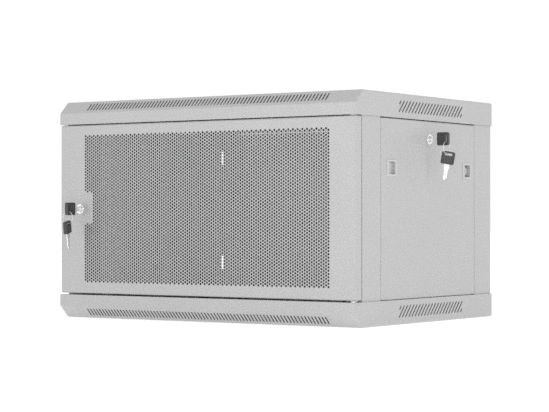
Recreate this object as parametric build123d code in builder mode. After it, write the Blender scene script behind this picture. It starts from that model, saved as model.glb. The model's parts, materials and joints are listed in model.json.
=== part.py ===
from build123d import *
from math import sqrt
import os

os.makedirs("parts", exist_ok=True)

# Six-unit wall cabinet for 19-inch equipment: welded-post body between two folded frames, a
# perforated front door, two lift-off side panels, three cam locks and four side-panel latches.
# Millimetres. Origin at the centre of the bottom face, +Z up, the door faces -Y.

# ---- driving dimensions
WIDTH = 600.0
DEPTH = 450.0
HEIGHT = 370.0
FRAME_H = 39.5  # height of the top and the bottom frame
CHAMFER = 20.0  # sloping front edge of each frame
SHEET = 1.2  # frames, panels and door
POST_T = 1.5
RAIL_T = 1.8
SKIN_INSET = 2.0  # posts and side panels stand this far inside the frames
CORNER_R = 3.0
GAP = 0.3  # smallest free space between bodies that move apart

RIGHT = WIDTH / 2
FRONT = -DEPTH / 2
REAR = DEPTH / 2
SKIN_X = RIGHT - SKIN_INSET
TOP_LOW = HEIGHT - FRAME_H  # lower edge of the top frame
MID_Z = HEIGHT / 2

# vents
FRONT_SLOTS = 75
FRONT_SLOT_PITCH = 6.52
FRONT_SLOT_L = 17.5
SIDE_SLOTS = 20
SIDE_SLOT_PITCH = 10.15
SIDE_SLOT_L = 26.5
SIDE_SLOT_LEAN = 47.0  # degrees from horizontal, tops towards the rear
SIDE_SLOT_Y = 11.0  # middle of the row
SIDE_SLOT_RISE = 18.8  # from the frame's edge to the middle of a slot
SLOT_W = 2.9

# posts, plan view
POST_FRONT = FRONT + 21.5
POST_LIP_FRONT = 30.0
POST_LIP_REAR = 45.0
POST_EDGE_FRONT = FRONT + 78.0  # where the front post ends and the side panel starts
POST_EDGE_REAR = FRONT + 388.0
REBATE_IN = 11.0  # the post steps in behind the panel's edge
REBATE_W = 12.0

# 19-inch rails
RAIL_HOLE_SPAN = 465.1  # between hole columns
UNITS = 6
UNIT_H = 44.45
RAIL_FACE_FRONT = FRONT + 45.0
RAIL_FACE_REAR = FRONT + 425.0
RAIL_CLEAR = 450.0  # opening between the rails
RAIL_H = 358.0
CAGE_HOLE = 9.5

# wall-mount slots in the rear posts
WALL_X = 276.3
WALL_Z = (86.0, 285.0)
WALL_SLOT_L = 25.0
WALL_SLOT_W = 9.0
BACK_SCREWS = [(x, z) for x in (-260, 260) for z in (60, 310)]

# door
DOOR_LEFT = -RIGHT + 2.5
DOOR_RIGHT = RIGHT - 0.5
DOOR_LOW = 42.3
DOOR_HIGH = 329.0
DOOR_FACE = FRONT + 1.0
DOOR_BACK = FRONT + 16.5
DOOR_R = 2.5
MESH_LEFT = -RIGHT + 54.4
MESH_RIGHT = RIGHT - 47.6
MESH_LOW = 59.7
MESH_HIGH = 313.2
MESH_NOTCH_X = -RIGHT + 72.2
MESH_NOTCH_LOW = 162.4
MESH_NOTCH_HIGH = 213.0

# hinge
HINGE_X = RIGHT - 9.5
HINGE_Y = FRONT + 9.5
PIN_R = 3.0
BUSH_R = 3.05

# side panels
PANEL_FRONT = POST_EDGE_FRONT + 0.35
PANEL_REAR = POST_EDGE_REAR - 0.35
PANEL_LOW = FRAME_H + GAP
PANEL_HIGH = 329.3
PANEL_DEPTH = 10.0

# locks
BEZEL_R = 8.3
BEZEL_H = 1.4
BARREL_R = 7.5
BARREL_L = 22.0
PLUG_R = 5.0
PLUG_NOSE = 4.0  # how far the plug stands out of the bezel
CAM_T = 2.0
DOOR_LOCK_X = -RIGHT + 45.4
DOOR_LOCK_Z = 186.0
SIDE_LOCK_Y = FRONT + 232.5
SIDE_LOCK_Z = 300.0
DOOR_CAM_L = 24.0
SIDE_CAM_L = 38.5
LEFT_CAM_ANGLE = 27.0

# keys
BOW_L = 21.0
BOW_W = 21.5
BOW_T = 6.5
BOW_OUT = 15.5  # from the panel's face to the bow
WINDOW_L = 13.0
WINDOW_W = 4.0
WINDOW_END = 4.75  # from the bow's outer end to the middle of its window
BLADE_W = 6.6
SHOULDER_W = 8.6
SHOULDER_L = 8.5
BLADE_T = 2.0
BLADE_L = 26.0
KEYHOLE_T = 2.2
KEYHOLE_W = 6.8
RING_R = 10.4
WIRE_R = 0.55
RING_SEAT = 8.3  # from the ring's centre to the edge of each window that it hangs in
HANG_OFF = 3.5  # the ring sits this far off the spare key's centre line
SPARE_TILT = 10.0
SPARE_TURN_DOOR = 18.0
SPARE_TURN_SIDE = 34.0

# side-panel latches
LATCH_Y = (FRONT + 111.5, FRONT + 361.0)
LATCH_Z = 250.0
POCKET = 20.0
LATCH_WALL = 1.5
LATCH_FLANGE_Y = 31.0
LATCH_FLANGE_Z = 27.0
LATCH_DEPTH = 9.3
TONGUE_W = 12.0
TONGUE_T = 4.0
GRIP_W = 13.0


def save(piece, name):
    piece.label = name
    export_step(piece, f"parts/{name}.step")


def folded(points, thickness, radius, low, high):
    """A folded sheet: its centre line in plan, bent at a radius, standing from low to high."""
    with BuildPart() as sheet:
        with BuildSketch(Plane.XY.offset(low)):
            with BuildLine():
                FilletPolyline(*points, radius=radius)
            trace(line_width=thickness)
        extrude(amount=high - low)
    return sheet.part


def spun(plane, angle):
    """The plane turned in itself by an angle."""
    return Plane(plane.location * Rotation(0, 0, angle))


# ---- top and bottom frames


def frame_block(inset, radius):
    """The top frame's outline as a block: flat top, sloping front edge, rounded folds."""
    slope = inset * (sqrt(2) - 1)
    with BuildPart() as block:
        with BuildSketch(Plane.YZ.offset(-RIGHT + inset)):
            with BuildLine():
                Polyline(
                    (FRONT + inset, TOP_LOW - inset),
                    (FRONT + inset, HEIGHT - CHAMFER - slope),
                    (FRONT + CHAMFER + slope, HEIGHT - inset),
                    (REAR - inset, HEIGHT - inset),
                    (REAR - inset, TOP_LOW - inset),
                    close=True,
                )
            make_face()
        extrude(amount=WIDTH - 2 * inset)
        foot = block.faces().sort_by(Axis.Z)[0]
        foot_edges = foot.edges()
        folds = [edge for edge in block.edges() if edge not in foot_edges]
        fillet(folds, radius)
    return block.part


def frame_shell(lean, rise):
    """A folded frame with its inner flanges, front slots and leaning side slots."""
    flange_z = TOP_LOW
    with BuildPart() as shell:
        add(frame_block(0, CORNER_R))
        add(frame_block(SHEET, CORNER_R - SHEET), mode=Mode.SUBTRACT)
        # flanges turned in along the lower edge: front, rear and between the posts
        with BuildSketch(Plane.XY.offset(flange_z)):
            with Locations((0, FRONT + 9.8)):
                Rectangle(WIDTH - 4, 18.4)
            with Locations((0, REAR - 10)):
                Rectangle(WIDTH - 110, 18)
            with Locations((RIGHT - 10, 8.0), (-RIGHT + 10, 8.0)):
                Rectangle(18.4, 280)
        extrude(amount=SHEET)
        with BuildSketch(Plane.XY.offset(flange_z)):
            with Locations((HINGE_X, HINGE_Y)):
                Circle(5.0)
        extrude(amount=SHEET, mode=Mode.SUBTRACT)
        # slots across the sloping edge
        slope = Plane(
            origin=(0, FRONT + CHAMFER / 2, HEIGHT - CHAMFER / 2), x_dir=(1, 0, 0), z_dir=(0, -1, 1)
        )
        with BuildSketch(slope):
            with GridLocations(FRONT_SLOT_PITCH, 1, FRONT_SLOTS, 1):
                SlotOverall(FRONT_SLOT_L, SLOT_W, rotation=90)
        extrude(amount=3, both=True, mode=Mode.SUBTRACT)
        # leaning slots through both sides
        with BuildSketch(Plane.YZ):
            with Locations((SIDE_SLOT_Y, TOP_LOW + rise)):
                with GridLocations(SIDE_SLOT_PITCH, 1, SIDE_SLOTS, 1):
                    SlotOverall(SIDE_SLOT_L, SLOT_W, rotation=lean)
        extrude(amount=RIGHT + 1, both=True, mode=Mode.SUBTRACT)
        # short slots that square off the two ends of the side rows
        end = SIDE_SLOT_PITCH * (SIDE_SLOTS + 1) / 2
        shift = 5.6
        sense = 1 if lean > 0 else -1
        with BuildSketch(Plane.YZ):
            for way in (-1, 1):
                with Locations(
                    (SIDE_SLOT_Y + way * (end - shift), TOP_LOW + rise - way * sense * shift * 1.07)
                ):
                    SlotOverall(SIDE_SLOT_L - 4 * shift + 4.5, SLOT_W, rotation=lean)
        extrude(amount=RIGHT + 1, both=True, mode=Mode.SUBTRACT)
    return shell.part


FRAME_SCREWS = [
    (way * (RIGHT - x), y)
    for way in (-1, 1)
    for x, y in ((12.0, FRONT + 34.0), (12.0, FRONT + 64.0), (12.0, REAR - 48.0), (12.0, REAR - 16.0))
]
COVER_SIZE = (300.0, 70.0)
COVER_Y = REAR - 85.0
COVER_SCREWS = [(x, COVER_Y + y) for x in (-158, 158) for y in (-30, 30)]
FAN_X = (-100.0, 100.0)
FAN_Y = -40.0
FAN_BOLTS = 105.0
FAN_PITCH = 15.0
FAN_RINGS = 3
SCREW_HEAD_R = 4.8
SCREW_R = 2.5
COVER_HEAD_R = 3.6
COVER_SCREW_R = 1.75


def plate_holes(sign_z, plate_z):
    """Screw seats and the cable opening in a frame's plate, as one cutting solid."""
    seat_plane = Plane(origin=(0, 0, plate_z), x_dir=(1, 0, 0), z_dir=(0, 0, sign_z))
    with BuildPart() as cutter:
        for points, head in ((FRAME_SCREWS, SCREW_HEAD_R), (COVER_SCREWS, COVER_HEAD_R)):
            for x, y in points:
                with BuildSketch(seat_plane.offset(0.01)):
                    with Locations((x, y * seat_plane.y_dir.Y)):
                        Circle(head + 0.15)
                with BuildSketch(seat_plane.offset(-SHEET - 0.01)):
                    with Locations((x, y * seat_plane.y_dir.Y)):
                        Circle(head + 0.15 - SHEET)
                loft()
        with BuildSketch(seat_plane.offset(0.01)):
            with Locations((0, COVER_Y * seat_plane.y_dir.Y)):
                RectangleRounded(*COVER_SIZE, 4)
        extrude(amount=-SHEET - 0.02)
    return cutter.part


with BuildPart() as top_frame:
    add(frame_shell(SIDE_SLOT_LEAN, SIDE_SLOT_RISE))
    add(plate_holes(1, HEIGHT), mode=Mode.SUBTRACT)
    # two fan openings, each a hexagonal field of round holes with four fixing holes
    with BuildSketch(Plane.XY.offset(HEIGHT)):
        for fan_x in FAN_X:
            with Locations((fan_x, FAN_Y)):
                Circle(FAN_PITCH * 0.4)
                with GridLocations(FAN_BOLTS, FAN_BOLTS, 2, 2):
                    Circle(2.2)
                for ring in range(1, FAN_RINGS + 1):
                    for side in range(6):
                        start = Vector(ring * FAN_PITCH, 0).rotate(Axis.Z, side * 60)
                        step = Vector(FAN_PITCH, 0).rotate(Axis.Z, side * 60 + 120)
                        for hole in range(ring):
                            with Locations(start + step * hole):
                                Circle(FAN_PITCH * 0.4)
    extrude(amount=-SHEET - 1, mode=Mode.SUBTRACT)
save(top_frame.part, "top_frame")

with BuildPart() as bottom_frame:
    add(mirror(frame_shell(-SIDE_SLOT_LEAN, SIDE_SLOT_RISE), about=Plane.XY.offset(MID_Z)))
    add(plate_holes(-1, 0), mode=Mode.SUBTRACT)
save(bottom_frame.part, "bottom_frame")

# ---- corner posts, standing between the plates of the two frames
POST_LOW = SHEET + 0.4
POST_HIGH = HEIGHT - SHEET - 0.4
FOOT_T = 1.5
NUT_T = 4.0
KEEPER_X = SKIN_X - 7.0


def post_feet(points):
    """A foot plate with weld nuts at each end of a post."""
    x_mid = RIGHT - 14.0
    with BuildPart() as feet:
        for low, way in ((SHEET, 1), (HEIGHT - SHEET, -1)):
            plate = Plane(origin=(0, 0, low), x_dir=(1, 0, 0), z_dir=(0, 0, way))
            y_sign = plate.y_dir.Y
            y_mid = sum(y for _, y in points) / len(points)
            with BuildSketch(plate):
                with Locations((x_mid, y_mid * y_sign)):
                    Rectangle(21, 46)
                for x, y in points:
                    with Locations((x, y * y_sign)):
                        Circle(SCREW_HEAD_R - 0.6, mode=Mode.SUBTRACT)
            extrude(amount=FOOT_T)
            with BuildSketch(plate.offset(FOOT_T)):
                for x, y in points:
                    with Locations((x, y * y_sign)):
                        RegularPolygon(6.2, 6)
                        Circle(SCREW_R + 0.05, mode=Mode.SUBTRACT)
            extrude(amount=NUT_T)
    return feet.part


with BuildPart() as post_front_right:
    half = POST_T / 2
    add(
        folded(
            [
                (SKIN_X - POST_LIP_FRONT, POST_FRONT + half),
                (SKIN_X - half, POST_FRONT + half),
                (SKIN_X - half, POST_EDGE_FRONT - half),
                (SKIN_X - REBATE_IN - half, POST_EDGE_FRONT - half),
                (SKIN_X - REBATE_IN - half, POST_EDGE_FRONT + REBATE_W),
            ],
            POST_T,
            1.5,
            POST_LOW,
            POST_HIGH,
        )
    )
    add(post_feet([(RIGHT - 12.0, FRONT + 34.0), (RIGHT - 12.0, FRONT + 64.0)]))
    # keeper slot for the panel's latch
    with BuildSketch(Plane.XZ.offset(-POST_EDGE_FRONT + POST_T + 1)):
        with Locations((KEEPER_X, LATCH_Z)):
            Rectangle(TONGUE_T + 1.2, TONGUE_W + 1.2)
    extrude(amount=-POST_T - 2, mode=Mode.SUBTRACT)
save(post_front_right.part, "post_front_right")

with BuildPart() as post_rear_right:
    add(
        folded(
            [
                (SKIN_X - POST_LIP_REAR, REAR - SHEET - 1.0 - half),
                (SKIN_X - half, REAR - SHEET - 1.0 - half),
                (SKIN_X - half, POST_EDGE_REAR + half),
                (SKIN_X - REBATE_IN - half, POST_EDGE_REAR + half),
                (SKIN_X - REBATE_IN - half, POST_EDGE_REAR - REBATE_W),
            ],
            POST_T,
            1.5,
            POST_LOW,
            POST_HIGH,
        )
    )
    add(post_feet([(RIGHT - 12.0, REAR - 48.0), (RIGHT - 12.0, REAR - 16.0)]))
    with BuildSketch(Plane.XZ.offset(-POST_EDGE_REAR + 1)):
        with Locations((KEEPER_X, LATCH_Z)):
            Rectangle(TONGUE_T + 1.2, TONGUE_W + 1.2)
    extrude(amount=-POST_T - 2, mode=Mode.SUBTRACT)
    # upright slots for the wall screws
    with BuildSketch(Plane.XZ.offset(-REAR)):
        for z in WALL_Z:
            with Locations((WALL_X, z)):
                SlotOverall(WALL_SLOT_L, WALL_SLOT_W, rotation=90)
        for x, z in BACK_SCREWS:
            with Locations((x, z)):
                Circle(2.05)
    extrude(amount=POST_T + 5, mode=Mode.SUBTRACT)
save(post_rear_right.part, "post_rear_right")

for name, post in (("post_front_left", post_front_right), ("post_rear_left", post_rear_right)):
    with BuildPart() as mirrored:
        add(mirror(post.part, about=Plane.YZ))
    save(mirrored.part, name)

# ---- back panel, inside the rear posts' lips
BACK_W = 536.0
BACK_LOW = 41.0
BACK_HIGH = 329.0
BACK_Y = REAR - SHEET - 1.0 - POST_T - 0.2 - SHEET

with BuildPart() as back_panel:
    with BuildSketch(Plane.XZ.offset(-BACK_Y)):
        with Locations((0, (BACK_LOW + BACK_HIGH) / 2)):
            RectangleRounded(BACK_W, BACK_HIGH - BACK_LOW, 2)
        for point in BACK_SCREWS:
            with Locations(point):
                Circle(2.2, mode=Mode.SUBTRACT)
    extrude(amount=-SHEET)
    # stiffening returns along the top and bottom edges
    with BuildSketch(Plane.XZ.offset(-BACK_Y)):
        for z in (BACK_LOW + SHEET / 2, BACK_HIGH - SHEET / 2):
            with Locations((0, z)):
                Rectangle(BACK_W - 60, SHEET)
    extrude(amount=12)
save(back_panel.part, "back_panel")

# ---- countersunk screws for the frames and covers, pan-head screws for the rails


def countersunk(points, plate_z, way, head_r, shank_r, length):
    """Flush screws driven into a plate whose outer face is at plate_z."""
    plane = Plane(origin=(0, 0, plate_z), x_dir=(1, 0, 0), z_dir=(0, 0, way))
    with BuildPart() as screws:
        for x, y in points:
            centre = (x, y * plane.y_dir.Y)
            with BuildSketch(plane.offset(-0.05)):
                with Locations(centre):
                    Circle(head_r)
            with BuildSketch(plane.offset(-0.05 - head_r + shank_r)):
                with Locations(centre):
                    Circle(shank_r)
            loft()
            with BuildSketch(plane.offset(-0.05 - head_r + shank_r)):
                with Locations(centre):
                    Circle(shank_r)
            extrude(amount=-length)
            # cross recess
            with BuildSketch(plane):
                with Locations(centre):
                    Rectangle(head_r, head_r * 0.22)
                    Rectangle(head_r * 0.22, head_r)
            extrude(amount=-1.0, mode=Mode.SUBTRACT)
    return screws.part


with BuildPart() as frame_screws:
    add(countersunk(FRAME_SCREWS, HEIGHT, 1, SCREW_HEAD_R, SCREW_R, 5.0))
    add(countersunk(FRAME_SCREWS, 0, -1, SCREW_HEAD_R, SCREW_R, 5.0))
save(frame_screws.part, "frame_screws")

# ---- plates that close the cable openings, held from inside
for name, plate_z, way in (("cable_cover_top", HEIGHT, 1), ("cable_cover_bottom", 0, -1)):
    inner = Plane(origin=(0, 0, plate_z - way * SHEET), x_dir=(1, 0, 0), z_dir=(0, 0, -way))
    with BuildPart() as cable_cover:
        with BuildSketch(inner):
            with Locations((0, COVER_Y * inner.y_dir.Y)):
                RectangleRounded(COVER_SIZE[0] + 40, COVER_SIZE[1] + 20, 5)
            for x, y in COVER_SCREWS:
                with Locations((x, y * inner.y_dir.Y)):
                    Circle(COVER_HEAD_R, mode=Mode.SUBTRACT)
        extrude(amount=SHEET)
        with BuildSketch(inner.offset(SHEET)):
            for x, y in COVER_SCREWS:
                with Locations((x, y * inner.y_dir.Y)):
                    RegularPolygon(4.4, 6)
                    Circle(COVER_SCREW_R + 0.05, mode=Mode.SUBTRACT)
        extrude(amount=2.4)
    save(cable_cover.part, name)

# ---- depth bars between the posts, and the 19-inch rails bolted to them
BAR_WEB = RIGHT - 35.0
BAR_OUT = 18.0
BAR_H = 24.0
BAR_Z = (20.5, HEIGHT - 18.0)
BAR_FRONT = POST_FRONT + POST_T
BAR_REAR = REAR - SHEET - 1.0 - POST_T
BAR_SLOT_L = 70.0
RAIL_BOLT_R = 3.0
RAIL_LEGS = (28.0, 14.5)  # depth of the leg of the front and of the rear rails
RAIL_TAB = 26.0
RAIL_EDGE = RAIL_HOLE_SPAN / 2 + 13.5  # centre line of the leg behind the rail's outer edge
TAB_H = 32.0  # the wings that bolt to the bars are short, and stay inside the frames
# face, direction of its leg, leg, and how far the bolt lies behind the face
RAIL_PLACES = [
    (face_y, way, leg, leg + RAIL_TAB / 2)
    for face_y, way, leg in ((RAIL_FACE_FRONT, 1, RAIL_LEGS[0]), (RAIL_FACE_REAR, -1, RAIL_LEGS[1]))
]

for place, bar_z in (("lower", BAR_Z[0]), ("upper", BAR_Z[1])):
    with BuildPart() as bar:
        # web with two flanges towards the cabinet's side
        with BuildSketch(Plane.XZ.offset(-BAR_FRONT)):
            with BuildLine():
                FilletPolyline(
                    (BAR_WEB + BAR_OUT, bar_z - BAR_H / 2),
                    (BAR_WEB, bar_z - BAR_H / 2),
                    (BAR_WEB, bar_z + BAR_H / 2),
                    (BAR_WEB + BAR_OUT, bar_z + BAR_H / 2),
                    radius=1.5,
                )
            trace(line_width=POST_T)
        extrude(amount=-(BAR_REAR - BAR_FRONT))
        # end plates against the posts' lips
        for end_y, way in ((BAR_FRONT, -1), (BAR_REAR, 1)):
            with BuildSketch(Plane.XZ.offset(-end_y)):
                with Locations((BAR_WEB + BAR_OUT / 2 + 1, bar_z)):
                    Rectangle(BAR_OUT, BAR_H)
            extrude(amount=way * POST_T)
        # long slots that let the rails move in depth
        with BuildSketch(Plane.YZ.offset(BAR_WEB)):
            for face_y, way, leg, bolt in RAIL_PLACES:
                with Locations((face_y + way * (bolt + 12), bar_z)):
                    SlotOverall(BAR_SLOT_L, 2 * RAIL_BOLT_R + 0.5)
        extrude(amount=POST_T + 1, both=True, mode=Mode.SUBTRACT)
    save(bar.part, f"depth_bar_{place}_right")
    with BuildPart() as mirrored:
        add(mirror(bar.part, about=Plane.YZ))
    save(mirrored.part, f"depth_bar_{place}_left")

CAGE_RISE = [unit * UNIT_H + rise for unit in range(UNITS) for rise in (6.35, 22.225, 38.1)]
for place, (face_y, way, leg, bolt) in zip(("front", "rear"), RAIL_PLACES):
    mid = face_y + way * RAIL_T / 2
    tab_x = BAR_WEB - POST_T / 2 - RAIL_T / 2
    with BuildPart() as rail:
        add(
            folded(
                [
                    (RAIL_CLEAR / 2, mid),
                    (RAIL_EDGE, mid),
                    (RAIL_EDGE, mid + way * leg),
                    (tab_x, mid + way * leg),
                    (tab_x, mid + way * (leg + RAIL_TAB)),
                ],
                RAIL_T,
                1.8,
                MID_Z - RAIL_H / 2,
                MID_Z + RAIL_H / 2,
            )
        )
        with BuildSketch(Plane.XY.offset(MID_Z)):
            with Locations((RAIL_EDGE + RAIL_T / 2, 0)):
                Rectangle(WIDTH, DEPTH, align=(Align.MIN, Align.CENTER))
        extrude(amount=RAIL_H / 2 - TAB_H, both=True, mode=Mode.SUBTRACT)
        with BuildSketch(Plane.XZ.offset(-face_y + 5)):
            for rise in CAGE_RISE:
                with Locations((RAIL_HOLE_SPAN / 2, MID_Z - UNITS * UNIT_H / 2 + rise)):
                    Rectangle(CAGE_HOLE, CAGE_HOLE)
        extrude(amount=-10, mode=Mode.SUBTRACT)
        with BuildSketch(Plane.YZ.offset(tab_x)):
            for bar_z in BAR_Z:
                with Locations((face_y + way * bolt, bar_z)):
                    Circle(RAIL_BOLT_R + 0.25)
        extrude(amount=RAIL_T, both=True, mode=Mode.SUBTRACT)
    save(rail.part, f"rail_{place}_right")
    with BuildPart() as mirrored:
        add(mirror(rail.part, about=Plane.YZ))
    save(mirrored.part, f"rail_{place}_left")

with BuildPart() as rail_bolts:
    head = Plane.YZ.offset(BAR_WEB - POST_T / 2 - RAIL_T)
    for face_y, way, leg, bolt in RAIL_PLACES:
        for bar_z in BAR_Z:
            centre = (face_y + way * bolt, bar_z)
            with BuildSketch(head):
                with Locations(centre):
                    Circle(6.0)
            extrude(amount=-3.2)
            with BuildSketch(head.offset(-3.2)):
                with Locations(centre):
                    RegularPolygon(2.5, 6)
            extrude(amount=2.0, mode=Mode.SUBTRACT)
            with BuildSketch(head):
                with Locations(centre):
                    Circle(RAIL_BOLT_R)
            extrude(amount=POST_T + RAIL_T)
            with BuildSketch(head.offset(POST_T + RAIL_T)):
                with Locations(centre):
                    RegularPolygon(5.6, 6)
            extrude(amount=4.5)
    mirror(about=Plane.YZ)
save(rail_bolts.part, "rail_bolts")

# ---- small screws: flush ones in the cable covers, pan heads from the back panel into the posts
with BuildPart() as plate_screws:
    add(countersunk(COVER_SCREWS, HEIGHT, 1, COVER_HEAD_R, COVER_SCREW_R, 3.2))
    add(countersunk(COVER_SCREWS, 0, -1, COVER_HEAD_R, COVER_SCREW_R, 3.2))
    for x, z in BACK_SCREWS:
        outside = Plane(origin=(x, BACK_Y + SHEET, z), x_dir=(1, 0, 0), z_dir=(0, 1, 0))
        with BuildSketch(outside):
            Circle(2.0)
        extrude(amount=POST_T + 0.2)
        with BuildSketch(outside):
            Circle(2.0)
        extrude(amount=-SHEET - 4)
        with BuildSketch(outside.offset(-SHEET)):
            Circle(4.0)
        extrude(amount=-2.5)
save(plate_screws.part, "plate_screws")

# ---- door: folded pan with a window, and the perforated field that fills it


def mesh_outline():
    """The perforated field's outline, notched beside the lock."""
    return [
        (MESH_LEFT, MESH_LOW),
        (MESH_RIGHT, MESH_LOW),
        (MESH_RIGHT, MESH_HIGH),
        (MESH_LEFT, MESH_HIGH),
        (MESH_LEFT, MESH_NOTCH_HIGH),
        (MESH_NOTCH_X, MESH_NOTCH_HIGH),
        (MESH_NOTCH_X, MESH_NOTCH_LOW),
        (MESH_LEFT, MESH_NOTCH_LOW),
    ]


DOOR_W = DOOR_RIGHT - DOOR_LEFT
DOOR_H = DOOR_HIGH - DOOR_LOW
DOOR_MID = ((DOOR_LEFT + DOOR_RIGHT) / 2, (DOOR_LOW + DOOR_HIGH) / 2)
HOUSING_LOW = 300.0  # lower ear of the sprung pin's bracket
DOOR_TOP_IN = DOOR_HIGH - SHEET


def pan(width, height, depth, radius, inset):
    """A shallow block with rounded front edges, centred, growing along +Z from its open back."""
    with BuildPart() as block:
        with BuildSketch():
            Rectangle(width - 2 * inset, height - 2 * inset)
        extrude(amount=depth - inset)
        back_edges = block.faces().sort_by(Axis.Z)[0].edges()
        fillet([edge for edge in block.edges() if edge not in back_edges], radius - inset)
    return block.part


with BuildPart() as door_shell:
    outer = pan(DOOR_W, DOOR_H, DOOR_BACK - DOOR_FACE, DOOR_R, 0)
    inner = pan(DOOR_W, DOOR_H, DOOR_BACK - DOOR_FACE, DOOR_R, SHEET)
    back = Plane(origin=(DOOR_MID[0], DOOR_BACK, DOOR_MID[1]), x_dir=(1, 0, 0), z_dir=(0, -1, 0))
    add(back * outer)
    add(back * inner, mode=Mode.SUBTRACT)
    with BuildSketch(Plane.XZ.offset(-DOOR_FACE + 1)):
        with BuildLine():
            Polyline(*mesh_outline(), close=True)
        make_face()
        with Locations((DOOR_LOCK_X, DOOR_LOCK_Z)):
            Circle(BARREL_R + 0.1)
    extrude(amount=-SHEET - 2, mode=Mode.SUBTRACT)
    with BuildSketch(Plane.XY.offset(DOOR_HIGH)):
        with Locations((HINGE_X, HINGE_Y)):
            Circle(PIN_R + 0.4)
    extrude(amount=-SHEET, mode=Mode.SUBTRACT)
    with BuildSketch(Plane.XY.offset(DOOR_LOW)):
        with Locations((HINGE_X, HINGE_Y)):
            Circle(4.6)
    extrude(amount=SHEET, mode=Mode.SUBTRACT)
    # lower ear for the sprung pin
    with BuildSketch(Plane.XY.offset(HOUSING_LOW)):
        with Locations((HINGE_X - 0.9, HINGE_Y - 0.25)):
            Rectangle(17.5, 14.0)
        with Locations((HINGE_X, HINGE_Y)):
            Circle(PIN_R + 0.4, mode=Mode.SUBTRACT)
    extrude(amount=POST_T)
save(door_shell.part, "door_shell")

with BuildPart() as door_mesh:
    with BuildSketch(Plane.XZ.offset(-DOOR_FACE)):
        with BuildLine():
            Polyline(*mesh_outline(), close=True)
        make_face()
    extrude(amount=-SHEET)
save(door_mesh.part, "door_mesh")

# ---- hinge: a fixed lower pin on the bottom frame, a sprung upper pin in the door
HINGE = (HINGE_X, HINGE_Y)
LOWER_PIN_HIGH = 54.0
COLLAR_R = 4.8
COLLAR_T = 2.0


def disc(low, high, outer, inner=0.0):
    """A round or a ring on the hinge's axis."""
    with BuildPart() as ring:
        with BuildSketch(Plane.XY.offset(low)):
            with Locations(HINGE):
                Circle(outer)
                if inner:
                    Circle(inner, mode=Mode.SUBTRACT)
        extrude(amount=high - low)
    return ring.part


with BuildPart() as hinge_pin_lower:
    add(disc(FRAME_H - SHEET, LOWER_PIN_HIGH, PIN_R))
    chamfer(hinge_pin_lower.edges().sort_by(Axis.Z)[-1], 0.8)
    add(disc(FRAME_H - SHEET - 1.5, FRAME_H - SHEET, 6.5))
    add(disc(FRAME_H - SHEET, FRAME_H, 4.9))
    add(disc(FRAME_H, FRAME_H + 1.2, 5.2))
save(hinge_pin_lower.part, "hinge_pin_lower")

with BuildPart() as door_bush_lower:
    add(disc(DOOR_LOW - 1.1, DOOR_LOW, 6.0, BUSH_R))
    add(disc(DOOR_LOW, DOOR_LOW + SHEET, 4.6, BUSH_R))
    add(disc(DOOR_LOW + SHEET, DOOR_LOW + 7, 5.3, BUSH_R))
save(door_bush_lower.part, "door_bush_lower")

with BuildPart() as hinge_bush_upper:
    add(disc(TOP_LOW - 0.8, TOP_LOW, 6.0, BUSH_R))
    add(disc(TOP_LOW, TOP_LOW + SHEET, 5.0, BUSH_R))
    add(disc(TOP_LOW + SHEET, TOP_LOW + 3.5, 6.0, BUSH_R))
save(hinge_bush_upper.part, "hinge_bush_upper")

COLLAR_HIGH = DOOR_TOP_IN - 0.2
PIN_TAIL = 289.0
with BuildPart() as hinge_pin_upper:
    add(disc(PIN_TAIL, TOP_LOW + 5.5, PIN_R))
    chamfer(hinge_pin_upper.edges().sort_by(Axis.Z)[-1], 1.0)
    add(disc(COLLAR_HIGH - COLLAR_T, COLLAR_HIGH, COLLAR_R))
    # finger lever bent towards the middle of the door
    with BuildSketch(Plane.YZ.offset(HINGE_X)):
        with Locations((HINGE_Y, PIN_TAIL + PIN_R)):
            Circle(PIN_R - 0.4)
    extrude(amount=-17)
    fillet(hinge_pin_upper.edges().sort_by(Axis.X)[0], 1.5)
save(hinge_pin_upper.part, "hinge_pin_upper")

SPRING_LOW = HOUSING_LOW + POST_T
SPRING_HIGH = COLLAR_HIGH - COLLAR_T
SPRING_WIRE = 0.6
SPRING_TURNS = 7
with BuildPart() as hinge_spring:
    coil_low = SPRING_LOW + SPRING_WIRE
    coil_high = SPRING_HIGH - SPRING_WIRE
    with BuildLine() as coil:
        Helix(
            pitch=(coil_high - coil_low) / SPRING_TURNS,
            height=coil_high - coil_low,
            radius=PIN_R + 1.1,
            center=(HINGE_X, HINGE_Y, coil_low),
        )
    with BuildSketch(Plane(origin=coil.line @ 0, z_dir=coil.line % 0)):
        Circle(SPRING_WIRE)
    sweep(path=coil.line, is_frenet=True)
save(hinge_spring.part, "hinge_spring")

# ---- side panels
PANEL_Y = (PANEL_FRONT + PANEL_REAR) / 2
PANEL_Z = (PANEL_LOW + PANEL_HIGH) / 2
PANEL_FACE = Plane(origin=(SKIN_X, 0, 0), x_dir=(0, 1, 0), z_dir=(1, 0, 0))

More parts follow.
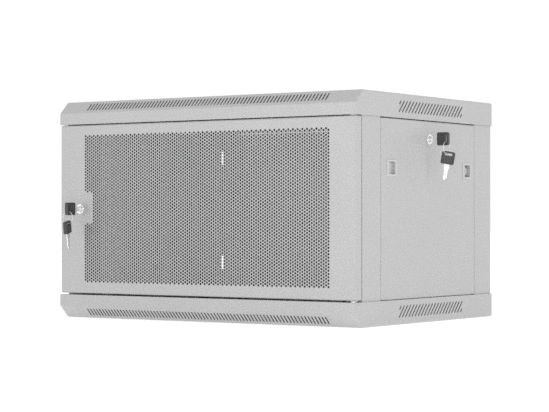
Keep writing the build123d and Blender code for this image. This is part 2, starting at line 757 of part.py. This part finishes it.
with BuildPart() as side_panel_right:
    length = PANEL_REAR - PANEL_FRONT
    height = PANEL_HIGH - PANEL_LOW
    inside = Plane(
        origin=(SKIN_X - PANEL_DEPTH, PANEL_Y, PANEL_Z), x_dir=(0, 1, 0), z_dir=(1, 0, 0)
    )
    add(inside * pan(length, height, PANEL_DEPTH, 1.8, 0))
    add(inside * pan(length, height, PANEL_DEPTH, 1.8, SHEET), mode=Mode.SUBTRACT)
    with BuildSketch(PANEL_FACE.offset(1)):
        with Locations((SIDE_LOCK_Y, SIDE_LOCK_Z)):
            Circle(BARREL_R + 0.1)
        for y in LATCH_Y:
            with Locations((y, LATCH_Z)):
                Rectangle(POCKET + 2 * LATCH_WALL + 0.4, POCKET + 2 * LATCH_WALL + 0.4)
    extrude(amount=-SHEET - 2, mode=Mode.SUBTRACT)
    # the latch tongues pass through both upright returns
    with BuildSketch(Plane.XZ):
        with Locations((KEEPER_X, LATCH_Z)):
            Rectangle(TONGUE_T + 0.8, TONGUE_W + 0.8)
    extrude(amount=DEPTH, both=True, mode=Mode.SUBTRACT)
save(side_panel_right.part, "side_panel_right")
with BuildPart() as side_panel_left:
    add(mirror(side_panel_right.part, about=Plane.YZ))
save(side_panel_left.part, "side_panel_left")

# ---- latches: a moulded pocket with a sliding bolt behind its floor
LATCH_FLOOR = SKIN_X - LATCH_DEPTH - LATCH_WALL


def latch_parts(mid_y, way):
    """Housing and bolt of one latch on the right-hand panel; way points at its post."""
    with BuildPart() as housing:
        box_w = POCKET + 2 * LATCH_WALL
        with BuildSketch(Plane.YZ.offset(LATCH_FLOOR)):
            with Locations((mid_y, LATCH_Z)):
                Rectangle(box_w, box_w)
        extrude(amount=SKIN_X - LATCH_FLOOR)
        with BuildSketch(Plane.YZ.offset(SKIN_X)):
            with Locations((mid_y, LATCH_Z)):
                RectangleRounded(LATCH_FLANGE_Y, LATCH_FLANGE_Z, 2)
        extrude(amount=0.9)
        rim = housing.faces().sort_by(Axis.X)[-1].edges()
        chamfer(rim, 0.5)
        with BuildSketch(Plane.YZ.offset(LATCH_FLOOR + LATCH_WALL)):
            with Locations((mid_y, LATCH_Z)):
                Rectangle(POCKET, POCKET)
        extrude(amount=LATCH_DEPTH + 2, mode=Mode.SUBTRACT)
        slot_y = mid_y + way * (POCKET + LATCH_WALL) / 2
        with BuildSketch(Plane.YZ.offset(KEEPER_X - TONGUE_T / 2 - GAP)):
            with Locations((slot_y, LATCH_Z)):
                Rectangle(LATCH_WALL + 1, TONGUE_W + 2 * GAP)
        extrude(amount=TONGUE_T + 2 * GAP, mode=Mode.SUBTRACT)
    with BuildPart() as bolt:
        # finger plate, drawn back from the post, with a raised grip rib
        grip_y = mid_y - way * (POCKET - GRIP_W - 2 * GAP) / 2
        with BuildSketch(Plane.YZ.offset(KEEPER_X - TONGUE_T / 2)):
            with Locations((grip_y, LATCH_Z)):
                Rectangle(GRIP_W, POCKET - 2 * GAP)
        extrude(amount=TONGUE_T)
        rib_y = grip_y - way * (GRIP_W / 2 - 1)
        with BuildSketch(Plane.YZ.offset(KEEPER_X + TONGUE_T / 2)):
            with Locations((rib_y, LATCH_Z)):
                Rectangle(2, POCKET - 4)
        extrude(amount=1.2)
        # tongue that reaches to just short of the post
        tip_y = PANEL_FRONT + 0.2 if way < 0 else PANEL_REAR - 0.2
        tongue_l = abs(tip_y - grip_y)
        with BuildSketch(Plane.YZ.offset(KEEPER_X - TONGUE_T / 2)):
            with Locations(((tip_y + grip_y) / 2, LATCH_Z)):
                Rectangle(tongue_l, TONGUE_W)
        extrude(amount=TONGUE_T)
    return housing.part, bolt.part


for place, mid_y, way in (("front", LATCH_Y[0], -1), ("rear", LATCH_Y[1], 1)):
    for kind, piece in zip(("housing", "bolt"), latch_parts(mid_y, way)):
        with BuildPart() as latch_right:
            add(piece)
        save(latch_right.part, f"latch_{kind}_{place}_right")
        with BuildPart() as latch_left:
            add(mirror(piece, about=Plane.YZ))
        save(latch_left.part, f"latch_{kind}_{place}_left")

# ---- cam locks. Each is built on a plane on the panel's face: z out of the panel, y up
NUT_AF = 22.0
NUT_H = 4.0
CAM_W = 14.0


def lock_body(face):
    """Bezel and barrel, open through the middle for the plug, and the loose nut behind the sheet."""
    with BuildPart() as body:
        with BuildSketch(face):
            Circle(BEZEL_R)
        extrude(amount=BEZEL_H)
        chamfer(body.faces().sort_by(Axis(face.origin, face.z_dir))[-1].edges(), 0.7)
        with BuildSketch(face):
            Circle(BARREL_R)
        extrude(amount=-BARREL_L)
        with BuildSketch(face.offset(BEZEL_H)):
            Circle(PLUG_R + GAP)
        extrude(amount=-BARREL_L - BEZEL_H, mode=Mode.SUBTRACT)
        with BuildSketch(face.offset(-SHEET)):
            RegularPolygon(NUT_AF / 2, 6, major_radius=False)
            Circle(BARREL_R + 0.02, mode=Mode.SUBTRACT)
        extrude(amount=-NUT_H)
    return body.part


def lock_plug(face, keyed, angle):
    """The turning plug, with a keyway from the front and a square tail turned with its cam."""
    with BuildPart() as plug:
        nose = face.offset(BEZEL_H + PLUG_NOSE)
        with BuildSketch(nose):
            Circle(PLUG_R)
        extrude(amount=-BEZEL_H - PLUG_NOSE - BARREL_L - 0.4)
        chamfer(plug.faces().sort_by(Axis(face.origin, face.z_dir))[-1].edges(), 0.6)
        with BuildSketch(spun(face.offset(-BARREL_L - 0.4), angle)):
            Rectangle(6.5, 6.5)
        extrude(amount=-CAM_T - 0.2)
        with BuildSketch(nose):
            Rectangle(KEYHOLE_T, KEYHOLE_W)
        extrude(amount=-keyed, mode=Mode.SUBTRACT)
        with BuildSketch(face.offset(-BARREL_L - CAM_T - 1)):
            Circle(1.9)
        extrude(amount=7, mode=Mode.SUBTRACT)
    return plug.part


def lock_cam(face, length, angle):
    """A flat lever on the plug's square, pointing away at an angle from the face's y axis."""
    turned = spun(face.offset(-BARREL_L - 0.5), angle)
    with BuildPart() as cam:
        with BuildSketch(turned):
            with Locations((0, length / 2 - CAM_W / 4)):
                SlotOverall(length + CAM_W / 2, CAM_W, rotation=90)
            Rectangle(6.6, 6.6, mode=Mode.SUBTRACT)
        extrude(amount=-CAM_T)
    return cam.part


def lock_screw(face):
    with BuildPart() as screw:
        with BuildSketch(face.offset(-BARREL_L - CAM_T - 0.6)):
            Circle(5.0)
        extrude(amount=-0.8)
        with BuildSketch(face.offset(-BARREL_L - CAM_T - 1.4)):
            RegularPolygon(4.0, 6)
        extrude(amount=-3.0)
        with BuildSketch(face.offset(-BARREL_L - CAM_T - 0.6)):
            Circle(1.85)
        extrude(amount=5)
    return screw.part


# ---- keys


def key_bow(plane):
    """A moulded bow: x across, y towards its outer end, z through its thickness."""
    with BuildPart() as bow:
        with BuildSketch(plane.offset(-BOW_T / 2)) as outline:
            with Locations((0, BOW_L / 2)):
                Rectangle(BOW_W, BOW_L)
            fillet(outline.vertices().group_by(Axis.Y)[-1], 3.2)
            fillet(outline.vertices().group_by(Axis.Y)[0], 2.4)
        extrude(amount=BOW_T)
        faces = bow.faces().sort_by(Axis(plane.origin, plane.z_dir))
        chamfer(faces[0].edges() + faces[-1].edges(), 0.7)
        # shallow panels on both sides
        for side in (1, -1):
            with BuildSketch(plane.offset(side * BOW_T / 2)):
                with Locations((0, BOW_L / 2 - 3.2)):
                    Rectangle(BOW_W - 5, BOW_L - 11)
            extrude(amount=-side * 0.5, mode=Mode.SUBTRACT)
        with BuildSketch(plane.offset(-BOW_T)):
            with Locations((0, BOW_L - WINDOW_END)):
                RectangleRounded(WINDOW_L, WINDOW_W, 0.8)
        extrude(amount=2 * BOW_T, mode=Mode.SUBTRACT)
        # socket for the blade's root
        with BuildSketch(plane.offset(-BLADE_T / 2)):
            with Locations((0, 3)):
                Rectangle(BLADE_W, 6)
        extrude(amount=BLADE_T, mode=Mode.SUBTRACT)
    return bow.part


def key_blade(plane, length):
    """A flat blade from inside the bow to a pointed tip, bitted along one edge."""
    half = BLADE_W / 2
    wide = SHOULDER_W / 2
    bites = (0.8, 1.3, 0.5, 1.5, 1.0)
    pitch = (length - SHOULDER_L - 7) / len(bites)
    with BuildPart() as blade:
        with BuildSketch(plane.offset(-BLADE_T / 2)):
            with BuildLine():
                Polyline(
                    (-half, 6),
                    (half, 6),
                    (half, 0),
                    (wide, 0),
                    (wide, -SHOULDER_L),
                    (half, -SHOULDER_L),
                    (half, -length + 5),
                    (1.0, -length),
                    (-1.0, -length),
                    (-half, -length + 4),
                    (-half, -SHOULDER_L),
                    (-wide, -SHOULDER_L),
                    (-wide, 0),
                    (-half, 0),
                    close=True,
                )
            make_face()
            for i, bite in enumerate(bites):
                with Locations((half, -SHOULDER_L - 1.6 - pitch * i)):
                    Rectangle(2 * bite, pitch * 0.55, mode=Mode.SUBTRACT)
        extrude(amount=BLADE_T)
        # groove down each side
        for side in (1, -1):
            with BuildSketch(plane.offset(side * BLADE_T / 2)):
                with Locations((-1.2, -length / 2 - 1)):
                    Rectangle(1.2, length - 4)
            extrude(amount=-side * 0.4, mode=Mode.SUBTRACT)
    return blade.part


def ring_of(centre, axis):
    with BuildPart() as ring:
        with BuildSketch(Plane(origin=centre, x_dir=(0, 0, 1), z_dir=Vector(0, 0, 1).cross(axis))):
            with Locations((RING_R, 0)):
                Circle(WIRE_R)
        revolve(axis=Axis(centre, axis))
    return ring.part


def key_set(face, name, spare_turn):
    """The key in the lock, its ring, and the spare key hanging from the ring."""
    out = face.z_dir
    across = face.x_dir
    blade_plane = Plane(
        origin=face.origin + out * BOW_OUT, x_dir=Vector(0, 0, 1), z_dir=Vector(0, 0, 1).cross(out)
    )
    save(key_bow(blade_plane), f"key_bow_{name}")
    save(key_blade(blade_plane, BOW_OUT + 14.0), f"key_blade_{name}")
    window = face.origin + out * (BOW_OUT + BOW_L - WINDOW_END)
    ring_centre = window - Vector(0, 0, WINDOW_L / 2 + RING_SEAT)
    save(ring_of(ring_centre, out), f"key_ring_{name}")
    # the spare key hangs by the end of its window, tilted until it balances
    hang = ring_centre - Vector(0, 0, RING_R)
    normal = across.rotate(Axis.Z, spare_turn)
    sideways = Vector(0, 0, 1).cross(normal)
    hanging = spun(Plane(origin=hang, x_dir=sideways, z_dir=normal), SPARE_TILT)
    drop = BOW_L - WINDOW_END + WINDOW_W / 2 + RING_SEAT - RING_R
    spare_origin = hanging.from_local_coords((-HANG_OFF, -drop, 0))
    spare = Plane(origin=spare_origin, x_dir=hanging.x_dir, z_dir=hanging.z_dir)
    save(key_bow(spare), f"spare_bow_{name}")
    save(key_blade(spare, BLADE_L), f"spare_blade_{name}")


DOOR_LOCK = Plane(origin=(DOOR_LOCK_X, DOOR_FACE, DOOR_LOCK_Z), x_dir=(1, 0, 0), z_dir=(0, -1, 0))
RIGHT_LOCK = Plane(origin=(SKIN_X, SIDE_LOCK_Y, SIDE_LOCK_Z), x_dir=(0, 1, 0), z_dir=(1, 0, 0))
LEFT_LOCK = Plane(origin=(-SKIN_X, SIDE_LOCK_Y, SIDE_LOCK_Z), x_dir=(0, -1, 0), z_dir=(-1, 0, 0))
LOCKS = (
    ("door", DOOR_LOCK, DOOR_CAM_L, 180.0),
    ("right", RIGHT_LOCK, SIDE_CAM_L, -90.0),
    ("left", LEFT_LOCK, SIDE_CAM_L, 90.0 - LEFT_CAM_ANGLE),
)
for name, face, cam_length, cam_angle in LOCKS:
    save(lock_body(face), f"lock_body_{name}")
    save(lock_plug(face, 21.0, cam_angle), f"lock_plug_{name}")
    save(lock_cam(face, cam_length, cam_angle), f"lock_cam_{name}")
    save(lock_screw(face), f"lock_screw_{name}")

key_set(DOOR_LOCK, "door", SPARE_TURN_DOOR)
key_set(RIGHT_LOCK, "right", SPARE_TURN_SIDE)
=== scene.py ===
import json
import math

import bmesh
import bpy
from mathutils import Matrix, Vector


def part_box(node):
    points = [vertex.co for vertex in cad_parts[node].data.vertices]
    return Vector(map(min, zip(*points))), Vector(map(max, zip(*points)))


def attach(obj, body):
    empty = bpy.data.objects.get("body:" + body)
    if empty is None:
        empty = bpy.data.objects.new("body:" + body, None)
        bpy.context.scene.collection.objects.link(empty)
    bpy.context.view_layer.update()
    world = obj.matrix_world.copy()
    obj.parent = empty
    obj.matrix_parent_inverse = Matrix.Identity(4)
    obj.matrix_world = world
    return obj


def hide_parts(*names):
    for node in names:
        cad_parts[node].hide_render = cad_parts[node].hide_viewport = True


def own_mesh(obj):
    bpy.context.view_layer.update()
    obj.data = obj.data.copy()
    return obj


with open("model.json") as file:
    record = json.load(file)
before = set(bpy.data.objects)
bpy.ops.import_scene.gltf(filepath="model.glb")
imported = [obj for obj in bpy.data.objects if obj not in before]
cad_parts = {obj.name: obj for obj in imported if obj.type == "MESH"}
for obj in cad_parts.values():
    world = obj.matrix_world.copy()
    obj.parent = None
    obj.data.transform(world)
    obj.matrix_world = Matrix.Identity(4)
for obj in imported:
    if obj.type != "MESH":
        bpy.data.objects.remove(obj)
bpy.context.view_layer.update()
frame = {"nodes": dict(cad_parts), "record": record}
nodes = frame["nodes"]

MM = 0.001

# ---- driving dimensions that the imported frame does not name, in metres

# perforated field of the door: staggered columns of round holes, beside a plain notch at the lock
SHEET = 1.2 * MM
HOLE_PITCH = 5.097 * MM  # from one hole to the next in a column
COLUMN_PITCH = 4.426 * MM
HOLE_R = 1.95 * MM
HOLE_SIDES = 18
FIELD_COLUMNS = 112
FIELD_ROWS = 49
FIELD_LEFT = -242.3 * MM  # middle of the first column
FIELD_LOW = 65.37 * MM  # middle of the lowest hole in the first column
NOTCH_X = -227.8 * MM
NOTCH_COLUMNS = 4
NOTCH_LOW = 162.4 * MM
NOTCH_HIGH = 213.0 * MM
FIELD_PIECES = 3
# corners of the hexagon round a hole, in lattice steps from its middle
CELL_CORNERS = ((2, 0), (1, 1), (-1, 1), (-2, 0), (-1, -1), (1, -1))

# spring round the upper hinge pin
WIRE_R = 0.6 * MM
WIRE_SIDES = 12
SPRING_TURNS = 7
SPRING_STEPS = 28  # rings of vertices in each turn of the coil

# camera, at eye level with the middle of the cabinet: metres, degrees and millimetres of lens
CAMERA_PLACE = (1.8058, -2.6539, 0.1677)
CAMERA_YAW = 34.311
CAMERA_RISE = 0.422
CAMERA_LENS = 121.6
CAMERA_SENSOR = 36.0
CAMERA_REACH = 100

# floor, wide enough to run out of the picture
FLOOR_SIZE = 40.0
FLOOR_DROP = 0.5 * MM  # keeps it clear of the underside
FLOOR_TONE = 0.85
FLOOR_GLOW = 0.52  # its own light, which keeps the shadow under the cabinet faint

# surroundings: full white, dimming towards the side that the cabinet is seen from
NEAR_SIDE = (0.56, -0.83, 0)
NEAR_GLOW = 0.65

# lamps: name, place, aim, width, height, watts
LAMPS = (
    ("front_left", (-2.2, -4.6, 0.6), (0, 0, 0.2), 1.2, 1.8, 30),
    ("front_right", (1.0, -1.45, 0.1), (0.25, -0.2, 0.16), 0.5, 0.7, 6),
    ("side", (2.8, 0.5, 1.0), (0.3, 0, 0.2), 1, 1, 8),
)

# the middle of a noise value's range, where most of it lies
NOISE_LOW = 0.3
NOISE_HIGH = 0.7

# numbers of the colour sockets of a mix node
MIX_FACTOR = 0
MIX_FIRST = 6
MIX_SECOND = 7
MIX_RESULT = 2


def new_object(name, data):
    """An object in the scene, at the origin unless it is moved later."""
    made = bpy.data.objects.new(name, data)
    bpy.context.scene.collection.objects.link(made)
    return made


# ---- materials


class Shader:
    """A material under construction: one Principled shader and the nodes that drive it."""

    def __init__(self, name):
        self.material = bpy.data.materials.new(name)
        self.material.use_nodes = True
        self.tree = self.material.node_tree
        self.principled = self.tree.nodes["Principled BSDF"]
        self.place = self.node("ShaderNodeTexCoord").outputs["Object"]

    def node(self, kind, **inputs):
        made = self.tree.nodes.new(kind)
        for key, value in inputs.items():
            made.inputs[key.replace("_", " ")].default_value = value
        return made

    def link(self, source, target):
        self.tree.links.new(source, target)

    def set(self, **sockets):
        for key, value in sockets.items():
            self.principled.inputs[key.replace("_", " ")].default_value = value

    def stretched(self, scale):
        """Object coordinates scaled by a different factor along each axis."""
        mapping = self.node("ShaderNodeMapping", Scale=scale)
        self.link(self.place, mapping.inputs["Vector"])
        return mapping.outputs["Vector"]

    def noise(self, scale, detail, place=None):
        """A noise value, with scale features to the metre and detail octaves."""
        texture = self.node("ShaderNodeTexNoise", Scale=scale, Detail=detail, Roughness=0.5)
        self.link(place or self.place, texture.inputs["Vector"])
        return texture.outputs["Fac"]

    def spread(self, value, low, high):
        """Maps the middle of a noise value's range to low..high."""
        ramp = self.node("ShaderNodeMapRange")
        ramp.inputs["From Min"].default_value = NOISE_LOW
        ramp.inputs["From Max"].default_value = NOISE_HIGH
        ramp.inputs["To Min"].default_value = low
        ramp.inputs["To Max"].default_value = high
        self.link(value, ramp.inputs["Value"])
        return ramp.outputs["Result"]

    def colour(self, value, dark, light):
        """Base colour that drifts between two tones with a noise value."""
        blend = self.spread(value, 0, 1)
        mix = self.node("ShaderNodeMix")
        mix.data_type = "RGBA"
        mix.inputs[MIX_FIRST].default_value = (*dark, 1)
        mix.inputs[MIX_SECOND].default_value = (*light, 1)
        self.link(blend, mix.inputs[MIX_FACTOR])
        self.link(mix.outputs[MIX_RESULT], self.principled.inputs["Base Color"])

    def roughness(self, value):
        self.link(value, self.principled.inputs["Roughness"])

    def bump(self, *layers):
        """Stacks layers of bump, each a noise value, a strength and a depth in metres."""
        normal = None
        for height, strength, depth in layers:
            bump = self.node("ShaderNodeBump", Strength=strength, Distance=depth)
            self.link(height, bump.inputs["Height"])
            if normal:
                self.link(normal, bump.inputs["Normal"])
            normal = bump.outputs["Normal"]
        self.link(normal, self.principled.inputs["Normal"])


def powder_coat(name, tone):
    """Light grey powder coat: fine orange peel, faint drifts of tone, semi-gloss."""
    s = Shader(name)
    dark = [tone * 0.975, tone * 0.98, tone * 0.985]
    light = [tone * 1.015, tone * 1.015, tone * 1.01]
    s.colour(s.noise(9, detail=4), dark, light)
    s.roughness(s.spread(s.noise(14, detail=5), 0.36, 0.46))
    s.bump((s.noise(420, detail=2), 0.05, 0.0004), (s.noise(1300, detail=2), 0.08, 0.00015))
    s.set(Metallic=0.0, IOR=1.5, Specular_IOR_Level=0.5)
    return s.material


def zinc(name, tone, metal_roughness=0.32):
    """Zinc-plated steel: cool grey metal with cloudy patches."""
    s = Shader(name)
    s.colour(s.noise(60, detail=4), [tone * 0.86, tone * 0.87, tone * 0.9], [tone] * 3)
    s.roughness(s.spread(s.noise(150, detail=4), metal_roughness - 0.08, metal_roughness + 0.1))
    s.bump((s.noise(900, detail=3), 0.06, 0.0002))
    s.set(Metallic=1.0)
    return s.material


def plated(name, tone, shine):
    """Nickel-chrome plate with fine wiping scratches."""
    s = Shader(name)
    s.colour(s.noise(90, detail=3), [tone * 0.94] * 3, [tone] * 3)
    s.roughness(s.spread(s.noise(400, detail=4, place=s.stretched((1, 1, 9))), shine, shine + 0.1))
    s.bump((s.noise(700, detail=3, place=s.stretched((1, 1, 12))), 0.03, 0.0001))
    s.set(Metallic=1.0)
    return s.material


def moulded(name, dark, light, low_rough, high_rough, grain=0.12):
    """Moulded plastic with a fine spark-eroded grain."""
    s = Shader(name)
    s.colour(s.noise(70, detail=4), dark, light)
    s.roughness(s.spread(s.noise(260, detail=4), low_rough, high_rough))
    s.bump((s.noise(2600, detail=2), grain, 0.00012), (s.noise(300, detail=3), grain / 3, 0.0003))
    s.set(Metallic=0.0, Specular_IOR_Level=0.5)
    return s.material


PAINT_TONE = 0.42
MATERIALS = {
    "grey_paint": powder_coat("powder_coat_grey", PAINT_TONE),
    "zinc_steel": zinc("zinc_plate", 0.66),
    "chrome_lock": plated("lock_plate", 0.86, 0.42),
    "key_plastic": moulded(
        "key_plastic", (0.040, 0.041, 0.043), (0.052, 0.053, 0.055), 0.42, 0.56
    ),
    "key_steel": plated("key_nickel", 0.78, 0.46),
    "latch_plastic": moulded(
        "latch_plastic", (0.46, 0.46, 0.46), (0.49, 0.49, 0.49), 0.44, 0.56, 0.08
    ),
    "nylon": moulded("nylon_natural", (0.66, 0.65, 0.60), (0.72, 0.71, 0.67), 0.4, 0.55, 0.05),
    "spring_steel": zinc("spring_wire", 0.5, 0.26),
}


def dress(obj, slot):
    obj.data.materials.clear()
    obj.data.materials.append(MATERIALS[slot])


for part in frame["record"]["subparts"]:
    dress(nodes[part["node"]], part["material_slot"])


# ---- the perforated field of the door


def lattice(i, j):
    """(x, z) of a point of the lattice that the holes and the corners of their cells share.

    A step is a third of a column pitch across, or half a hole pitch up.
    """
    return FIELD_LEFT + i * COLUMN_PITCH / 3, FIELD_LOW + j * HOLE_PITCH / 2


def holes():
    """Lattice steps to the middle of every hole. Every second column is half a pitch lower."""
    for column in range(FIELD_COLUMNS):
        for row in range(FIELD_ROWS):
            i, j = 3 * column, 2 * row - column % 2
            z = lattice(i, j)[1]
            in_notch = NOTCH_LOW - HOLE_PITCH / 2 < z < NOTCH_HIGH + HOLE_PITCH / 2
            if column >= NOTCH_COLUMNS or not in_notch:
                yield i, j


def add_cell(bm, shared, i, j, face_y):
    """One hexagon of sheet round the hole at (i, j). Neighbours share their corners."""
    outer = []
    for across, up in CELL_CORNERS:
        key = (i + across, j + up)
        if key not in shared:
            x, z = lattice(*key)
            shared[key] = bm.verts.new((x, face_y, z))
        outer.append(shared[key])
    x, z = lattice(i, j)
    rim = []
    for step in range(HOLE_SIDES):
        turn = 2 * math.pi * step / HOLE_SIDES
        rim.append(bm.verts.new((x + HOLE_R * math.cos(turn), face_y, z + HOLE_R * math.sin(turn))))
    per_side = HOLE_SIDES // 6
    for side in range(6):
        arc = [rim[(side * per_side + k) % HOLE_SIDES] for k in range(per_side + 1)]
        bm.faces.new([outer[side], outer[(side + 1) % 6], *reversed(arc)])


def fill_border(bm, shared, outline, face_y):
    """Plain metal between the zigzag edge of the cells and the straight outline."""
    corners = set(shared.values())
    zigzag = [e for e in bm.edges if e.is_boundary and corners.issuperset(e.verts)]
    frame_verts = [bm.verts.new((x, face_y, z)) for x, z in outline]
    straight = [bm.edges.new((vert, frame_verts[i - 1])) for i, vert in enumerate(frame_verts)]
    bmesh.ops.triangle_fill(bm, edges=zigzag + straight, use_beauty=True, normal=(0, -1, 0))
    bmesh.ops.recalc_face_normals(bm, faces=bm.faces)
    if sum(face.normal.y for face in bm.faces) > 0:
        bmesh.ops.reverse_faces(bm, faces=bm.faces)


def thicken(mesh):
    """Gives a flat sheet its thickness, towards +Y, with a wall in every hole."""
    sheet = bmesh.new()
    sheet.from_mesh(mesh)
    front = list(sheet.faces)
    borders = [edge for edge in sheet.edges if edge.is_boundary]
    copy = bmesh.ops.duplicate(sheet, geom=front)
    twin = copy["vert_map"]
    back = [item for item in copy["geom"] if isinstance(item, bmesh.types.BMFace)]
    for edge in borders:
        a, b = edge.verts
        loop = edge.link_loops[0]
        if loop.vert is a:
            a, b = b, a
        sheet.faces.new((a, b, twin[b], twin[a]))
    for vert in {vert for face in back for vert in face.verts}:
        vert.co.y += SHEET
    bmesh.ops.reverse_faces(sheet, faces=back)
    sheet.to_mesh(mesh)
    sheet.free()


def strip_of(bm, left, right, name):
    """The faces whose middles lie between two values of x, as a thick mesh of their own."""
    part = bm.copy()
    stray = [f for f in part.faces if not left <= f.calc_center_median().x < right]
    bmesh.ops.delete(part, geom=stray, context="FACES")
    mesh = bpy.data.meshes.new(name)
    part.to_mesh(mesh)
    part.free()
    thicken(mesh)
    return mesh


def build_field():
    low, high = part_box("door_mesh")
    outline = [(low.x, low.z), (high.x, low.z), (high.x, high.z), (low.x, high.z)]
    outline += [(low.x, NOTCH_HIGH), (NOTCH_X, NOTCH_HIGH), (NOTCH_X, NOTCH_LOW)]
    outline += [(low.x, NOTCH_LOW)]
    bm = bmesh.new()
    shared = {}
    for i, j in holes():
        add_cell(bm, shared, i, j, low.y)
    fill_border(bm, shared, outline, low.y)
    width = (high.x - low.x) / FIELD_PIECES
    for i in range(FIELD_PIECES):
        left = low.x + i * width
        name = f"door_field_{i + 1}"
        piece = new_object(name, strip_of(bm, left, left + width, name))
        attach(piece, "door")
        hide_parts("door_mesh")
        dress(piece, "grey_paint")
    bm.free()


build_field()


# ---- the spring round the upper hinge pin, built at one length; the real spring shortens when the pin is pulled down, which this coil does not


def tube_ring(bm, turn, centre, coil_r, slope):
    """One ring of vertices round the wire, at an angle of turn along the coil.

    centre is on the coil's axis, and slope is the wire's rise per radian of turn.
    """
    outward = Vector((math.cos(turn), math.sin(turn), 0))
    along = Vector((-outward.y * coil_r, outward.x * coil_r, slope)).normalized()
    upward = along.cross(outward)
    ring = []
    for side in range(WIRE_SIDES):
        angle = 2 * math.pi * side / WIRE_SIDES
        offset = outward * math.cos(angle) + upward * math.sin(angle)
        ring.append(bm.verts.new(centre + outward * coil_r + offset * WIRE_R))
    return ring


def build_spring():
    low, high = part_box("hinge_spring")
    foot = ((low.x + high.x) / 2, (low.y + high.y) / 2, low.z)
    coil_r = (high.x - low.x) / 2 - WIRE_R
    rise = high.z - low.z - 2 * WIRE_R
    slope = rise / (2 * math.pi * SPRING_TURNS)
    steps = SPRING_TURNS * SPRING_STEPS
    bm = bmesh.new()
    rings = []
    for step in range(steps + 1):
        turn = 2 * math.pi * step / SPRING_STEPS
        middle = Vector((foot[0], foot[1], low.z + WIRE_R + rise * step / steps))
        rings.append(tube_ring(bm, turn, middle, coil_r, slope))
    for ring, following in zip(rings, rings[1:]):
        for side in range(WIRE_SIDES):
            beside = (side + 1) % WIRE_SIDES
            face = bm.faces.new((ring[side], ring[beside], following[beside], following[side]))
            face.smooth = True
    bm.faces.new(rings[0])
    bm.faces.new(rings[-1])
    bmesh.ops.recalc_face_normals(bm, faces=bm.faces)
    mesh = bpy.data.meshes.new("pin_spring")
    bm.to_mesh(mesh)
    bm.free()
    spring = new_object("pin_spring", mesh)
    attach(spring, "door")
    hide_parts("hinge_spring")
    dress(spring, "spring_steel")
    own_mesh(spring)


build_spring()


# ---- stage, light and camera


def build_floor():
    half = FLOOR_SIZE / 2
    corners = [(-half, -half, 0), (half, -half, 0), (half, half, 0), (-half, half, 0)]
    mesh = bpy.data.meshes.new("floor")
    mesh.from_pydata(corners, [], [(0, 1, 2, 3)])
    floor = new_object("floor", mesh)
    floor.location.z = -FLOOR_DROP
    s = Shader("floor_white")
    s.colour(s.noise(3, detail=2), [FLOOR_TONE * 0.99] * 3, [FLOOR_TONE] * 3)
    s.set(Roughness=0.9, Specular_IOR_Level=0.1)
    s.set(Emission_Color=(1, 1, 1, 1), Emission_Strength=FLOOR_GLOW)
    floor.data.materials.append(s.material)


def area_light(name, place, aim, width, height, watts):
    data = bpy.data.lights.new(name, "AREA")
    data.shape = "RECTANGLE"
    data.size = width
    data.size_y = height
    data.energy = watts
    lamp = new_object(name, data)
    lamp.location = place
    direction = Vector(aim) - Vector(place)
    lamp.rotation_euler = direction.to_track_quat("-Z", "Y").to_euler()


def build_world():
    """White all round, a little dimmer on the side that the cabinet is seen from."""
    world = bpy.data.worlds.new("studio")
    world.use_nodes = True
    tree = world.node_tree
    place = tree.nodes.new("ShaderNodeTexCoord").outputs["Generated"]
    along = tree.nodes.new("ShaderNodeVectorMath")
    along.operation = "DOT_PRODUCT"
    along.inputs[1].default_value = NEAR_SIDE
    tree.links.new(place, along.inputs[0])
    ramp = tree.nodes.new("ShaderNodeMapRange")
    ramp.inputs["To Min"].default_value = 1.0
    ramp.inputs["To Max"].default_value = NEAR_GLOW
    tree.links.new(along.outputs["Value"], ramp.inputs["Value"])
    tree.links.new(ramp.outputs["Result"], tree.nodes["Background"].inputs["Strength"])
    tree.nodes["Background"].inputs["Color"].default_value = (1, 1, 1, 1)
    return world


def build_light():
    bpy.context.scene.world = build_world()
    for lamp in LAMPS:
        area_light(*lamp)


def build_camera():
    data = bpy.data.cameras.new("camera")
    data.lens = CAMERA_LENS
    data.sensor_width = CAMERA_SENSOR
    data.clip_end = CAMERA_REACH
    camera = new_object("camera", data)
    camera.location = CAMERA_PLACE
    camera.rotation_euler = (math.radians(90 + CAMERA_RISE), 0, math.radians(CAMERA_YAW))
    bpy.context.scene.camera = camera


build_floor()
build_light()
build_camera()
bpy.context.scene.view_settings.view_transform = "Standard"
bpy.context.scene.cycles.use_denoising = False  # the denoiser smears the holes of the door
